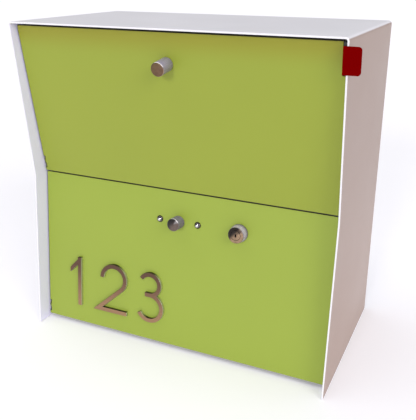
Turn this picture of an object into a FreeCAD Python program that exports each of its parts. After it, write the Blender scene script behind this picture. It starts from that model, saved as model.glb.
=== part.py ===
import FreeCAD, Part
import math
import os
from FreeCAD import Placement, Rotation, Vector

# Wall mounted mailbox with two pull-down doors. Millimetres.
# Drawn with X to the right, Y into the wall (the wall is at Y = 0) and Z up from the bottom edge of
# the box, then lowered so that the origin is the centre of the four wall holes.

# ---- the box ----
WIDTH = 406.4
HEIGHT = 406.4
DEPTH = 228.6  # at the top and at the bottom of the front edges
BEND_DEPTH = 209.0  # where the front edges fold in towards the wall
BEND_UP = 211.2
SHEET = 2.0
CORNER = 4.0  # outside radius of the two top bends
INNER_SHEET = 1.5  # back, floor, rail and header
INSIDE = WIDTH / 2 - SHEET  # inner face of a side wall
ROOF = HEIGHT - SHEET  # underside of the top
FLANGE = 14.0
SIDE_DEPTH = 24.0  # side flanges of the back panel

# ---- wall holes ----
WALL_HOLE_RADIUS = 3.5
WALL_HOLE_ACROSS = 240.0
WALL_HOLE_UP = 280.0
MIDDLE = HEIGHT / 2

# ---- floor ----
FLOOR_LOW = 0.4
FLOOR_TOP = FLOOR_LOW + INNER_SHEET
FLOOR_FRONT = 195.0
DRAIN_RADIUS = 3.0
FLANGE_FRONT = 176.0  # the floor's side flanges stop here, behind the lower door's swing

# ---- studs welded inside, and their nuts ----
STUD_RADIUS = 2.0
STUD_LONG = 8.0
NUT_FLATS = 7.0
NUT_TALL = 3.2
FLOOR_STUDS = [(y, FLOOR_LOW + 8.5) for y in (-160.0, -100.0, -45.0)]
BACK_STUDS = [(-14.0, z) for z in (40.0, 150.0, 260.0, 370.0)]
HEADER_X = (-150.0, -50.0, 50.0, 150.0)

# ---- doors ----
DOOR_SHEET = 1.6
DOOR_HALF = 199.4
LOWER_BASE = Vector(0, -208.5, 5.05)  # bottom edge of the outer face
LOWER_LEAN = -5.95
LOWER_TALL = 206.4
UPPER_BASE = Vector(0, -188.7, 212.3)
UPPER_LEAN = 8.62
UPPER_TALL = 191.2
EAR_OUT = 199.2  # outer face of the ears that carry the pivots
EAR_BEND = 0.4  # inside radius of the ears' fold
EAR_LOW = 5.0
EAR_HIGH = 20.0
RELIEF_RADIUS = 1.1
RELIEF_INSET = 1.5  # of the relief holes from the door's side edge
EAR_SHORT = 1.0  # how much each end of an ear stops short of its relief hole's middle
STRIP_SHORT = 0.3
PIVOT_BACK = 7.0
PIVOT_UP = 12.5
PIVOT_RADIUS = 2.5
RUNNING = 0.05
DOOR_CLEAR = 0.3
UPPER_OPEN = 55.0
LOWER_OPEN = 95.0
CLIP_GAP = 0.3
CLIP_THICK = 0.8
PIVOT_END = EAR_OUT - DOOR_SHEET - CLIP_GAP - CLIP_THICK - 1.6
SPACER_RADIUS = 5.2
GROOVE_RADIUS = 2.1
STOP_RADIUS = 2.0
STOP_END = 198.1

# ---- knobs, screws and lock ----
KNOB_RADIUS = 8.0
KNOB_CHAMFER = 0.8
KNOB_CROWN = 0.6  # of the lower knob's face
UPPER_KNOB_UP = 156.6
UPPER_KNOB_LONG = 22.0
LOWER_KNOB_LONG = 16.0
ROW_UP = 168.0  # height of the row of fittings on the lower door
DOME_ACROSS = 26.0
DOME_RADIUS = 4.4
DOME_TALL = 3.2
DOME_LONG = 8.4
SCREW_RADIUS = 2.5
HEAD_RADIUS = 4.5
HEAD_TALL = 2.8
HEAD_ROUND = 1.0
CROSS_LONG = 5.2  # cross recess in the heads of the knob screws
CROSS_WIDE = 1.0
CROSS_DEEP = 1.8
KNOB_BORE = 11.0
WASHER_RADIUS = 6.5
WASHER_TALL = 1.2
LOCK_X = 81.0
LOCK_RADIUS = 11.0
LOCK_FACE_RADIUS = 9.8
LOCK_OUT = 12.5
LOCK_BASE = 3.0  # height of the collar's plain band
LOCK_CHAMFER = 0.8
PLUG_SUNK = 0.2  # how far the plug's face lies inside the collar's
KEY_HALF = 0.9
KEY_DEEP = 5.5
KEY_LOW = 2.2  # the key slot's ends, below and above the plug's axis
KEY_HIGH = 1.6
BARREL_RADIUS = 9.5
PLUG_RADIUS = 6.0
BARREL_BACK = 12.6  # how far the lock reaches behind the door's outer face
LOCK_NUT_FLATS = 24.0
LOCK_NUT_TALL = 5.0
CAM_BACK = 13.2  # depth of the cam's front face
CAM_LONG = 33.0
CAM_HALF = 6.0
CAM_SHEET = 2.0
TANG_HALF = 3.4
CAM_SCREW_RADIUS = 1.6
CAM_SCREW_LONG = 8.0
CAM_HEAD_RADIUS = 5.0
CAM_HEAD_TALL = 2.4
CAM_HEAD_ROUND = 0.9
CAM_SLOT_HALF = 3.0

# ---- numerals ----
NUMERAL_TALL = 69.0
NUMERAL_UP = 25.4
NUMERAL_THICK = 4.0
STROKE = 5.6
NUMERAL_X = (-146.0, -92.0, -37.0)
BOWL = 20.5  # outside radius of the large curves
TAIL_ANGLE = -42.0
HOOK = 15.0
PIN_RADIUS = 1.5
PIN_LONG = 5.5
PIN_NUT_FLATS = 5.5
PIN_NUT_TALL = 2.2

# ---- rail, header and catches ----
RAIL_GAP = 9.4  # space between the lower door and the rail's front flange
RAIL_TOP = 208.6
RAIL_FLANGE = 20.0
RAIL_DEEP = 30.0
HEADER_GAP = 8.4
HEADER_DOWN = 23.0
BUMPER_RADIUS = 5.0
RAIL_BUMPER_X = 150.0
HEADER_BUMPER_X = 178.0
BUMPER_DROP = 10.0  # of the buttons and the catch below the rail's bend
HEADER_DROP = 13.0
CATCH_HALF = 24.0
CATCH_TALL = 14.0
CATCH_CASE = 5.6  # depth of a catch's case
POLE_HALF = 14.0
POLE_TALL = 8.0
HEADER_CATCH_X = 110.0
FLAG_BLOCK_DEEP = 9.0
FLAG_BLOCK_TALL = 30.0
FLAG_CORNER = 3.5
PLATE_SHEET = 2.0  # keeper plate behind the lower door
PLATE_HALF = 34.0
PLATE_UP = 9.0  # half of its height beside the tongue
PLATE_CORNER = 1.5
PLATE_TONGUE = 22.0

# ---- hopper behind the upper door ----
TRAY_SHEET = 1.6
TRAY_BEND = 1.5
TRAY_HALF = 188.8
TRAY_LINE = [(DOOR_SHEET, 46.0), (DOOR_SHEET, 26.0), (86.0, -3.0), (86.0, -11.0)]
CHEEK_SHEET = 1.6
CHEEK_LINE = [(DOOR_SHEET, 24.0), (88.0, -6.0), (88.0, 5.0), (DOOR_SHEET, 120.0)]
TRAY_STUD_UP = 37.0

# ---- flag ----
FLAG_WIDE = 18.2
FLAG_TALL = 27.6
FLAG_X = 197.6
FLAG_UP = 160.3  # up the leaning front edge, from the bend
FLAG_SHEET = 1.2
FLAG_PIN_X = 199.4
FLAG_PIN_BACK = 1.9
FLAG_PIN_RADIUS = 0.8
KNUCKLE_RADIUS = 1.5
KNUCKLE_UP = 167.0
KNUCKLE_TALL = 14.0
FLAG_BLOCK_X = 198.0
NOTCH_WIDE = 4.4
NOTCH_TALL = 34.0

UP = Vector(0, 0, 1)
ACROSS = Vector(1, 0, 0)
BACK = Vector(0, 1, 0)
OUT = Vector(0, -1, 0)


# ---- basic shapes ----

def box(x, y, z):
    """Block between the low and high value of each pair."""
    size = (x[1] - x[0], y[1] - y[0], z[1] - z[0])
    return Part.makeBox(*size, Vector(x[0], y[0], z[0]))


def rod(radius, start, direction, length):
    return Part.makeCylinder(radius, length, start, direction)


def ring(outer, inner, start, direction, length):
    return rod(outer, start, direction, length).cut(rod(inner, start, direction, length))


def hexagon(across_flats, bore, start, direction, length):
    """Six-sided nut standing on start."""
    radius = across_flats / math.sqrt(3)
    turns = [math.radians(60 * i) for i in range(7)]
    wire = Part.makePolygon([Vector(radius * math.cos(a), radius * math.sin(a), 0) for a in turns])
    nut = Part.Face(wire).extrude(Vector(0, 0, length))
    nut = nut.cut(rod(bore, Vector(0, 0, 0), UP, length))
    nut.Placement = Placement(start, Rotation(UP, direction))
    return nut


def turned(profile, start, direction):
    """Solid of revolution from (radius, height) points, standing on start."""
    points = [Vector(r, 0, h) for r, h in profile]
    face = Part.Face(Part.makePolygon(points + points[:1]))
    solid = face.revolve(Vector(0, 0, 0), UP, 360)
    solid.Placement = Placement(start, Rotation(UP, direction))
    return solid


def join(pieces):
    """One solid from pieces that touch."""
    return pieces[0].multiFuse(pieces[1:]).removeSplitter()


def both_sides(shape):
    """The shape and its mirror image on the other side of the box, as separate solids."""
    return Part.makeCompound([shape, shape.mirror(Vector(0, 0, 0), ACROSS)])


def offset_points(points, thickness):
    """The second face of a bent sheet: the line moved to its left, with mitred corners."""
    moved = []
    for i, (y, z) in enumerate(points):
        normals = []
        for a, b in ((i - 1, i), (i, i + 1)):
            if a >= 0 and b < len(points):
                dy = points[b][0] - points[a][0]
                dz = points[b][1] - points[a][1]
                run = math.hypot(dy, dz)
                normals.append((-dz / run, dy / run))
        ny = sum(n[0] for n in normals) / len(normals)
        nz = sum(n[1] for n in normals) / len(normals)
        scale = thickness / (ny * ny + nz * nz)
        moved.append((y + ny * scale, z + nz * scale))
    return moved


def bent_sheet(points, thickness, bend, x):
    """Sheet folded along (Y, Z) points, with its other face to the left, from x[0] to x[1]."""
    other = offset_points(points, thickness)
    outline = [Vector(x[0], y, z) for y, z in points + other[::-1]]
    solid = Part.Face(Part.makePolygon(outline + outline[:1])).extrude(ACROSS * (x[1] - x[0]))
    for i in range(1, len(points) - 1):
        before = (points[i][0] - points[i - 1][0], points[i][1] - points[i - 1][1])
        after = (points[i + 1][0] - points[i][0], points[i + 1][1] - points[i][1])
        turns_left = before[0] * after[1] - before[1] * after[0] > 0
        inner, outer = (other[i], points[i]) if turns_left else (points[i], other[i])
        solid = round_edges(solid, bend, inner)
        solid = round_edges(solid, bend + thickness, outer)
    return solid


def round_edges(solid, radius, place):
    """Round the edges parallel to X that pass through a (Y, Z) place."""
    found = []
    for edge in solid.Edges:
        ends = [v.Point for v in edge.Vertexes]
        along = len(ends) == 2 and abs(ends[0].x - ends[1].x) > 1
        if along and all(math.hypot(p.y - place[0], p.z - place[1]) < 0.01 for p in ends):
            found.append(edge)
    return solid.makeFillet(radius, found)


# ---- frames of the two doors and of the front edge ----

def frame(base, lean):
    """Places a shape drawn upright, with its outer face at Y = 0, on a leaning face."""
    return Placement(base, Rotation(ACROSS, lean))


UPPER = frame(UPPER_BASE, UPPER_LEAN)
LOWER = frame(LOWER_BASE, LOWER_LEAN)
EDGE_LEAN = math.degrees(math.atan2(DEPTH - BEND_DEPTH, HEIGHT - BEND_UP))
EDGE = frame(Vector(0, -BEND_DEPTH, BEND_UP), EDGE_LEAN)


def moved(shape, where):
    """The shape carried from its own frame to its place in the box."""
    result = shape.copy()
    result.Placement = where.multiply(result.Placement)
    return result


def on_face(where, y, z):
    """(Y, Z) in the box of a point given in a leaning frame."""
    point = where.multVec(Vector(0, y, z))
    return (point.y, point.z)


def reach(where, y, height):
    """How far up a leaning frame a height lies, at a given depth behind its face."""
    foot = where.multVec(Vector(0, y, 0))
    rise = where.multVec(Vector(0, y, 1)).z - foot.z
    return (height - foot.z) / rise


# ---- the box ----

def side_outline():
    """Solid with the side view of the box, as wide as the box."""
    places = [(0, 0), (-DEPTH, 0), (-BEND_DEPTH, BEND_UP), (-DEPTH, HEIGHT), (0, HEIGHT), (0, 0)]
    wire = Part.makePolygon([Vector(-WIDTH / 2, y, z) for y, z in places])
    return Part.Face(wire).extrude(ACROSS * WIDTH)


def arch(half, top, radius):
    """Block as deep as the box with its two upper long edges rounded."""
    block = box((-half, half), (-DEPTH, 0), (0, top))
    edges = [e for e in block.Edges if e.BoundBox.ZMin > top - 0.1 and e.BoundBox.YLength > 1]
    return block.makeFillet(radius, edges)


def outer_shell():
    """Top and both sides folded from one sheet, with the front edges cut to a shallow V."""
    shell = arch(WIDTH / 2, HEIGHT, CORNER).cut(arch(INSIDE, ROOF, CORNER - SHEET))
    return shell.common(side_outline())


def back_panel():
    """Plate with folded side flanges and four wall holes."""
    line = [(-SIDE_DEPTH, -INSIDE), (0, -INSIDE), (0, INSIDE), (-SIDE_DEPTH, INSIDE)]
    channel = bent_sheet(line, INNER_SHEET, INNER_SHEET, (FLOOR_TOP + FLANGE + 2, ROOF - 8))
    channel.Placement = Placement(Vector(0, 0, 0), Rotation(BACK, -90))
    half = INSIDE - CORNER
    plate = box((-half, half), (-INNER_SHEET, 0), (FLOOR_LOW, ROOF))
    panel = join([channel, plate])
    for x in (-WALL_HOLE_ACROSS / 2, WALL_HOLE_ACROSS / 2):
        for z in (MIDDLE - WALL_HOLE_UP / 2, MIDDLE + WALL_HOLE_UP / 2):
            panel = panel.cut(rod(WALL_HOLE_RADIUS, Vector(x, -SIDE_DEPTH, z), BACK, 2 * SIDE_DEPTH))
    return cut_all(panel, [stud_hole(place) for place in BACK_STUDS])


def floor_panel():
    """Plate with folded side flanges behind the lower door's swing, and drain holes."""
    line = [(-INSIDE, FLOOR_LOW + FLANGE), (-INSIDE, FLOOR_LOW), (INSIDE, FLOOR_LOW)]
    line.append((INSIDE, FLOOR_LOW + FLANGE))
    channel = bent_sheet(line, INNER_SHEET, INNER_SHEET, (-FLANGE_FRONT, -SIDE_DEPTH - 4))
    channel.Placement = Placement(Vector(0, 0, 0), Rotation(UP, 90))
    half = INSIDE - CORNER
    plate = box((-half, half), (-FLOOR_FRONT, -INNER_SHEET), (FLOOR_LOW, FLOOR_TOP))
    apron = box((-INSIDE, INSIDE), (-FLOOR_FRONT, -FLANGE_FRONT - 1), (FLOOR_LOW, FLOOR_TOP))
    panel = join([channel, plate, apron])
    drains = [(x, y) for x in (-150, -50, 50, 150) for y in (-170, -40)]
    for x, y in drains:
        panel = panel.cut(rod(DRAIN_RADIUS, Vector(x, y, -1), UP, 10))
    return cut_all(panel, [stud_hole(place) for place in FLOOR_STUDS])


def cut_all(shape, tools):
    for tool in tools:
        shape = shape.cut(tool)
    return shape


# ---- weld studs and nuts inside the box ----

def stud_hole(place):
    """Clearance through both side flanges of a panel for the stud at (Y, Z)."""
    start = Vector(-INSIDE - 1, place[0], place[1])
    return both_sides(rod(STUD_RADIUS + RUNNING, start, ACROSS, 8))


def side_studs():
    """Studs welded to the inner faces of the side walls."""
    studs = []
    for y, z in FLOOR_STUDS + BACK_STUDS:
        studs.append(both_sides(rod(STUD_RADIUS, Vector(INSIDE, y, z), -ACROSS, STUD_LONG)))
    return gather(studs)


def side_nuts():
    nuts = []
    for y, z in FLOOR_STUDS + BACK_STUDS:
        start = Vector(INSIDE - INNER_SHEET, y, z)
        nuts.append(both_sides(hexagon(NUT_FLATS, STUD_RADIUS + RUNNING, start, -ACROSS, NUT_TALL)))
    return gather(nuts)


def gather(shapes):
    """One compound of all the separate solids."""
    return Part.makeCompound([solid for shape in shapes for solid in shape.Solids])


# ---- rail between the doors, and what it carries ----

RAIL_FACE = DOOR_SHEET + RAIL_GAP  # depth of the rail's front face behind the lower door's face
RAIL_UP = reach(LOWER, RAIL_FACE, RAIL_TOP)
HEADER_FACE = DOOR_SHEET + HEADER_GAP
HEADER_UP = reach(UPPER, HEADER_FACE, ROOF)


def centre_rail():
    """Channel from wall to wall behind the seam, whose front flange also keeps the lock's cam."""
    front, top = on_face(LOWER, RAIL_FACE, RAIL_UP)
    line = [(front + RAIL_DEEP, top - 12), (front + RAIL_DEEP, top), (front, top)]
    line.append(on_face(LOWER, RAIL_FACE, RAIL_UP - RAIL_FLANGE))
    rail = bent_sheet(line, INNER_SHEET, INNER_SHEET, (-INSIDE, INSIDE))
    depth = (front + 4, front + RAIL_DEEP - INNER_SHEET)
    tab = box((INSIDE - INNER_SHEET, INSIDE), depth, (top - 14, top - INNER_SHEET / 2))
    return join([rail, tab, tab.mirror(Vector(0, 0, 0), ACROSS)])


def header():
    """Angle under the top, behind the upper edge of the upper door."""
    front, top = on_face(UPPER, HEADER_FACE, HEADER_UP)
    line = [(front + RAIL_DEEP, top), (front, top)]
    line.append(on_face(UPPER, HEADER_FACE, HEADER_UP - HEADER_DOWN))
    angle = bent_sheet(line, INNER_SHEET, INNER_SHEET, (CORNER - INSIDE, INSIDE - CORNER))
    for start in header_places():
        angle = angle.cut(rod(STUD_RADIUS + RUNNING, start, -UP, STUD_LONG))
    return angle


def header_places():
    """Where the header's studs meet the underside of the top."""
    front = on_face(UPPER, HEADER_FACE, HEADER_UP)[0]
    return [Vector(x, front + RAIL_DEEP / 2 + 3, ROOF) for x in HEADER_X]


def header_studs():
    return gather([rod(STUD_RADIUS, start, -UP, STUD_LONG) for start in header_places()])


def header_nuts():
    drop = UP * INNER_SHEET
    bore = STUD_RADIUS + RUNNING
    return gather([hexagon(NUT_FLATS, bore, p - drop, -UP, NUT_TALL) for p in header_places()])


def bumpers(where, x, up, face):
    """Pair of rubber buttons that a closed door rests against."""
    long = face - DOOR_SHEET - DOOR_CLEAR
    button = rod(BUMPER_RADIUS, Vector(x, face, up), OUT, long)
    rim = [e for e in button.Edges if e.BoundBox.YMax < face - long + 0.01]
    return moved(both_sides(button.makeFillet(1.0, rim[:1])), where)


def catch_case(x, up, face, meets):
    """Case of a magnetic catch, hollowed for its magnet; meets is the depth of the steel it pulls."""
    low = up - CATCH_TALL / 2
    case = box((x - CATCH_HALF, x + CATCH_HALF), (face - CATCH_CASE, face), (low, low + CATCH_TALL))
    edges = [e for e in case.Edges if e.BoundBox.YLength > 1]
    return case.makeFillet(2.0, edges).cut(catch_magnet(x, up, face, meets, RUNNING))


def catch_magnet(x, up, face, meets, spare=0.0):
    """Magnet that stands out of its case almost to the steel."""
    across = (x - POLE_HALF - spare, x + POLE_HALF + spare)
    tall = (up - POLE_TALL / 2 - spare, up + POLE_TALL / 2 + spare)
    return box(across, (meets + DOOR_CLEAR - spare, face - 1.5), tall)


def header_catches(draw):
    """The pair of catches, or of their magnets, on the header."""
    row = HEADER_UP - HEADER_DROP
    pair = [draw(x, row, HEADER_FACE, DOOR_SHEET) for x in (-HEADER_CATCH_X, HEADER_CATCH_X)]
    return moved(gather(pair), UPPER)


# ---- pivots ----

def pivot_studs(where):
    """Grooved studs on the side walls that a door turns on."""
    start = Vector(INSIDE, PIVOT_BACK, PIVOT_UP)
    stud = rod(PIVOT_RADIUS, start, -ACROSS, INSIDE - PIVOT_END)
    return moved(both_sides(stud.cut(clip_ring(PIVOT_RADIUS + 1))), where)


def clip_ring(outer):
    start = Vector(EAR_OUT - DOOR_SHEET - CLIP_GAP, PIVOT_BACK, PIVOT_UP)
    return ring(outer, GROOVE_RADIUS, start, -ACROSS, CLIP_THICK)


def pivot_clips(where):
    """Open retaining clips in the studs' grooves."""
    gap = box((0, WIDTH), (PIVOT_BACK, PIVOT_BACK + 9), (PIVOT_UP - 1.5, PIVOT_UP + 1.5))
    return moved(both_sides(clip_ring(4.6).cut(gap)), where)


def pivot_spacers(where):
    """Plastic rings between the walls and the ears."""
    start = Vector(INSIDE, PIVOT_BACK, PIVOT_UP)
    thick = INSIDE - EAR_OUT - DOOR_CLEAR
    spacer = ring(SPACER_RADIUS, PIVOT_RADIUS + RUNNING, start, -ACROSS, thick)
    return moved(both_sides(spacer), where)


def stop_studs(where, opening):
    """Short studs that the foot of a door meets when it is fully open."""
    turn = Rotation(ACROSS, opening)
    foot = turn.multVec(Vector(0, DOOR_SHEET - PIVOT_BACK, EAR_LOW / 2 - PIVOT_UP))
    away = turn.multVec(BACK) * (STOP_RADIUS + DOOR_CLEAR)
    place = Vector(INSIDE, PIVOT_BACK, PIVOT_UP) + foot + away
    return moved(both_sides(rod(STOP_RADIUS, place, -ACROSS, INSIDE - STOP_END)), where)


# ---- doors, each in its own frame: outer face at Y = 0, bottom edge at Z = 0 ----

def ear(side):
    """Tab folded back at a lower corner, with the hole that turns on the pivot stud."""
    low = EAR_LOW + EAR_SHORT
    high = EAR_HIGH - EAR_SHORT
    inner = EAR_OUT - DOOR_SHEET
    fold = box((EAR_OUT - 12, EAR_OUT), (0, DOOR_SHEET), (low, high))
    fold = fold.fuse(box((inner, EAR_OUT), (0, PIVOT_BACK), (low, high))).removeSplitter()
    upright = [e for e in fold.Edges if e.BoundBox.ZLength > 1]
    outside = [e for e in upright if near(e, EAR_OUT, 0)]
    fold = fold.makeFillet(DOOR_SHEET + EAR_BEND, outside)
    inside = [e for e in fold.Edges if e.BoundBox.ZLength > 1 and near(e, inner, DOOR_SHEET)]
    fold = fold.makeFillet(EAR_BEND, inside)
    centre = Vector(inner, PIVOT_BACK, PIVOT_UP)
    tab = fold.fuse(rod((high - low) / 2, centre, ACROSS, DOOR_SHEET)).removeSplitter()
    tab = tab.cut(rod(PIVOT_RADIUS + RUNNING, centre - ACROSS, ACROSS, 2 * DOOR_SHEET))
    return tab if side > 0 else tab.mirror(Vector(0, 0, 0), ACROSS)


def near(edge, x, y):
    middle = edge.CenterOfMass
    return math.hypot(middle.x - x, middle.y - y) < 0.05


def door_panel(tall):
    """Sheet with relief holes and an ear at each lower corner."""
    panel = box((-DOOR_HALF, DOOR_HALF), (0, DOOR_SHEET), (0, tall))
    bend_line = DOOR_HALF - RELIEF_INSET
    for side in (-1, 1):
        strip = sorted((side * (bend_line - 1), side * (DOOR_HALF + 1)))
        panel = panel.cut(box(strip, (-1, 3), (EAR_LOW + STRIP_SHORT, EAR_HIGH - STRIP_SHORT)))
        for z in (EAR_LOW, EAR_HIGH):
            panel = panel.cut(rod(RELIEF_RADIUS, Vector(side * bend_line, 3, z), OUT, 4))
    return join([panel, ear(-1), ear(1)])


def door_hole(radius, x, up):
    return rod(radius, Vector(x, 2 * DOOR_SHEET, up), OUT, 3 * DOOR_SHEET)


def upper_panel():
    """Upper door, notched at its right corner for the flag's hinge block."""
    panel = door_panel(UPPER_TALL).cut(door_hole(SCREW_RADIUS + RUNNING, 0, UPPER_KNOB_UP))
    across = (DOOR_HALF - NOTCH_WIDE, DOOR_HALF + 1)
    return panel.cut(box(across, (-1, 3), (UPPER_TALL - NOTCH_TALL, UPPER_TALL + 1)))


def lower_panel():
    """Lower door, drilled for its knob, two domed screws, lock and numerals."""
    panel = door_panel(LOWER_TALL).cut(door_hole(SCREW_RADIUS + RUNNING, 0, ROW_UP))
    for x in (-DOME_ACROSS, DOME_ACROSS):
        panel = panel.cut(door_hole(STUD_RADIUS + RUNNING, x, ROW_UP))
    panel = panel.cut(door_hole(BARREL_RADIUS + RUNNING, LOCK_X, ROW_UP))
    for x, z in numeral_pins():
        panel = panel.cut(door_hole(PIN_RADIUS + RUNNING, x, z))
    return panel


def knob(long, chamfer, crown):
    """Turned pull with a blind hole for its screw; crown is how far its face rises to the middle."""
    bore = SCREW_RADIUS + RUNNING
    profile = [(bore, 0), (KNOB_RADIUS, 0), (KNOB_RADIUS, long - crown - chamfer)]
    profile += [(KNOB_RADIUS - chamfer, long - crown), (0, long), (0, KNOB_BORE), (bore, KNOB_BORE)]
    return profile


def knob_screw(up, seat):
    """Pan-head screw from inside the door into the knob; seat is the depth of the head's face."""
    head = rod(HEAD_RADIUS, Vector(0, seat, up), BACK, HEAD_TALL)
    rim = [e for e in head.Edges if e.BoundBox.YMin > seat + HEAD_TALL - 0.01]
    head = head.makeFillet(HEAD_ROUND, rim[:1])
    shank = rod(SCREW_RADIUS, Vector(0, seat, up), OUT, seat + KNOB_BORE - 1)
    screw = join([head, shank])
    deep = (seat + HEAD_TALL - CROSS_DEEP, seat + HEAD_TALL + 1)
    for a, b in ((CROSS_LONG, CROSS_WIDE), (CROSS_WIDE, CROSS_LONG)):
        screw = screw.cut(box((-a / 2, a / 2), deep, (up - b / 2, up + b / 2)))
    return screw


def upper_knob_washer():
    start = Vector(0, DOOR_SHEET, UPPER_KNOB_UP)
    return ring(WASHER_RADIUS, SCREW_RADIUS + RUNNING, start, BACK, WASHER_TALL)


def hopper_tray():
    """Sloping shelf that lifts as the upper door is pulled, and whose weight shuts the door."""
    tray = bent_sheet(TRAY_LINE, TRAY_SHEET, TRAY_BEND, (-TRAY_HALF, TRAY_HALF))
    for x in HEADER_X:
        tray = tray.cut(door_hole(STUD_RADIUS + RUNNING, x, TRAY_STUD_UP))
    return tray


def tray_cheeks():
    """Plates that close the ends of the hopper."""
    wire = Part.makePolygon([Vector(TRAY_HALF, y, z) for y, z in CHEEK_LINE + CHEEK_LINE[:1]])
    return both_sides(Part.Face(wire).extrude(ACROSS * CHEEK_SHEET))


def tray_studs():
    places = [Vector(x, DOOR_SHEET, TRAY_STUD_UP) for x in HEADER_X]
    return gather([rod(STUD_RADIUS, place, BACK, STUD_LONG) for place in places])


def tray_nuts():
    seat = DOOR_SHEET + TRAY_SHEET
    places = [Vector(x, seat, TRAY_STUD_UP) for x in HEADER_X]
    return gather([hexagon(NUT_FLATS, STUD_RADIUS + RUNNING, p, BACK, NUT_TALL) for p in places])


def keeper_plate():
    """Steel plate behind the lower door, whose tongue meets the rail's catch."""
    back = (DOOR_SHEET, DOOR_SHEET + PLATE_SHEET)
    plate = box((-PLATE_HALF, PLATE_HALF), back, (ROW_UP - PLATE_UP, ROW_UP + PLATE_UP))
    plate = plate.fuse(box((-PLATE_TONGUE, PLATE_TONGUE), back, (ROW_UP, LOWER_TALL - 3)))
    plate = plate.removeSplitter()
    corners = [e for e in plate.Edges if e.BoundBox.YLength > 1]
    plate = plate.makeFillet(PLATE_CORNER, corners)
    holes = [(0, SCREW_RADIUS), (-DOME_ACROSS, STUD_RADIUS), (DOME_ACROSS, STUD_RADIUS)]
    for x, radius in holes:
        plate = plate.cut(rod(radius + RUNNING, Vector(x, 0, ROW_UP), BACK, 10))
    return plate


def dome_screws():
    """Two domed screws beside the lower knob."""
    ball = (DOME_RADIUS**2 + DOME_TALL**2) / (2 * DOME_TALL)
    screws = []
    for x in (-DOME_ACROSS, DOME_ACROSS):
        seat = Vector(x, 0, ROW_UP)
        head = Part.makeSphere(ball, seat + BACK * (ball - DOME_TALL))
        head = head.common(rod(DOME_RADIUS + 1, seat, OUT, DOME_TALL + 1))
        screws.append(join([head, rod(STUD_RADIUS, seat, BACK, DOME_LONG)]))
    return gather(screws)


def dome_nuts():
    seat = DOOR_SHEET + PLATE_SHEET
    places = [Vector(x, seat, ROW_UP) for x in (-DOME_ACROSS, DOME_ACROSS)]
    return gather([hexagon(NUT_FLATS, STUD_RADIUS + RUNNING, p, BACK, NUT_TALL) for p in places])


# ---- lock on the lower door ----

def lock_barrel():
    """Tapered collar outside the door and barrel inside it, bored for the plug."""
    bore = PLUG_RADIUS + RUNNING
    rim = LOCK_OUT - LOCK_CHAMFER
    profile = [(bore, -BARREL_BACK), (BARREL_RADIUS, -BARREL_BACK), (BARREL_RADIUS, 0)]
    profile += [(LOCK_RADIUS, 0), (LOCK_RADIUS, LOCK_BASE), (LOCK_FACE_RADIUS, rim)]
    profile += [(LOCK_FACE_RADIUS - LOCK_CHAMFER, LOCK_OUT), (bore, LOCK_OUT)]
    return turned(profile, Vector(LOCK_X, 0, ROW_UP), OUT)


def lock_nut():
    seat = Vector(LOCK_X, DOOR_SHEET, ROW_UP)
    return hexagon(LOCK_NUT_FLATS, BARREL_RADIUS + RUNNING, seat, BACK, LOCK_NUT_TALL)


def lock_plug():
    """Plug with a short key slot in front and a square tang behind."""
    start = Vector(LOCK_X, BARREL_BACK, ROW_UP)
    plug = rod(PLUG_RADIUS, start, OUT, BARREL_BACK + LOCK_OUT - PLUG_SUNK)
    across = (LOCK_X - KEY_HALF, LOCK_X + KEY_HALF)
    slot = box(across, (-LOCK_OUT - 1, KEY_DEEP - LOCK_OUT), (ROW_UP - KEY_LOW, ROW_UP + KEY_HIGH))
    tang = square(TANG_HALF, BARREL_BACK, CAM_BACK + CAM_SHEET)
    plug = join([plug, tang]).cut(slot)
    return plug.cut(rod(CAM_SCREW_RADIUS + RUNNING, Vector(LOCK_X, 0, ROW_UP), BACK, WIDTH))


def square(half, front, back):
    return box((LOCK_X - half, LOCK_X + half), (front, back), (ROW_UP - half, ROW_UP + half))


def lock_cam():
    """Tongue that lies along X when unlocked and turns up behind the rail's flange."""
    reach_x = LOCK_X + CAM_LONG
    back = (CAM_BACK, CAM_BACK + CAM_SHEET)
    cam = box((LOCK_X, reach_x - CAM_HALF), back, (ROW_UP - CAM_HALF, ROW_UP + CAM_HALF))
    ends = [rod(CAM_HALF + e, Vector(x, CAM_BACK, ROW_UP), BACK, CAM_SHEET)
            for x, e in ((LOCK_X, 2.0), (reach_x - CAM_HALF, 0.0))]
    cam = join([cam] + ends)
    return cam.cut(square(TANG_HALF + RUNNING, 0, WIDTH))


def cam_screw():
    seat = Vector(LOCK_X, CAM_BACK + CAM_SHEET, ROW_UP)
    head = rod(CAM_HEAD_RADIUS, seat, BACK, CAM_HEAD_TALL)
    rim = [e for e in head.Edges if e.BoundBox.YMin > seat.y + CAM_HEAD_TALL - 0.01]
    head = head.makeFillet(CAM_HEAD_ROUND, rim[:1])
    screw = join([head, rod(CAM_SCREW_RADIUS, seat, OUT, CAM_SCREW_LONG)])
    across = (LOCK_X - CAM_SLOT_HALF, LOCK_X + CAM_SLOT_HALF)
    deep = (seat.y + CAM_HEAD_TALL / 2, seat.y + CAM_HEAD_TALL + 1)
    return screw.cut(box(across, deep, (ROW_UP - 0.5, ROW_UP + 0.5)))


# ---- numerals, drawn flat with the foot of the figure on X = 0 ----

def bar(x, low, high):
    """Upright stroke centred on x."""
    return Part.makeBox(STROKE, high - low, NUMERAL_THICK, Vector(x - STROKE / 2, low, 0))


def plate(places):
    """Flat piece of a figure from its corners."""
    wire = Part.makePolygon([Vector(x, y, 0) for x, y in places + places[:1]])
    return Part.Face(wire).extrude(UP * NUMERAL_THICK)


def arc(height, outer, first, sweep):
    """Curved stroke about (0, height), from an angle in degrees and through another."""
    centre = Vector(0, height, 0)
    whole = Part.makeCylinder(outer, NUMERAL_THICK, centre, UP, sweep)
    whole = whole.cut(rod(outer - STROKE, centre, UP, NUMERAL_THICK))
    whole.rotate(centre, UP, first)
    return whole


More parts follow.
